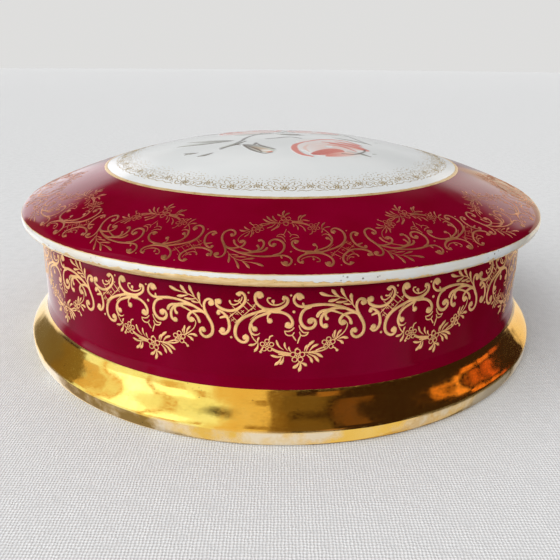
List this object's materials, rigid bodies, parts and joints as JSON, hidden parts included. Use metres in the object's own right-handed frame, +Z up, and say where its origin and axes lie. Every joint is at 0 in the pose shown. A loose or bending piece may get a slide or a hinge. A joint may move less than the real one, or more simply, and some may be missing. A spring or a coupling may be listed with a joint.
{
  "type": "porcelain trinket box",
  "caption": "Round porcelain trinket box: a low footed bowl with a gilded flared base and a shallow domed lift-off lid, crimson glaze with gilt scrollwork and a painted rose.",
  "frame": {"origin": "centre of the face that the foot ring stands on, on the box's axis", "axes": "+Z up along the box's axis, out through the top of the lid; +X and +Y across it"},
  "size_m": [0.1818, 0.1818, 0.0654],
  "materials": {
    "crimson_glaze": "deep crimson on-glaze ground under a clear, wet-looking glaze",
    "white_glaze": "cool white hard-paste porcelain under a clear gloss glaze",
    "burnished_gold": "fired gilding: mirror-bright on the foot, matt raised print in the scrollwork",
    "enamel_paint": "thin on-glaze enamel painting in coral, brown and grey green",
    "bare_porcelain": "unglazed ground foot ring, matt and slightly rough"
  },
  "bodies": {
    "base": {"box_base": "crimson_glaze"},
    "lid": {"lid": "crimson_glaze"}
  },
  "joints": [
    {"name": "lid_lift", "type": "slide", "parent": "base", "child": "lid", "axis": [0, 0, 1], "range_m": [0, 0.1]}
  ]
}
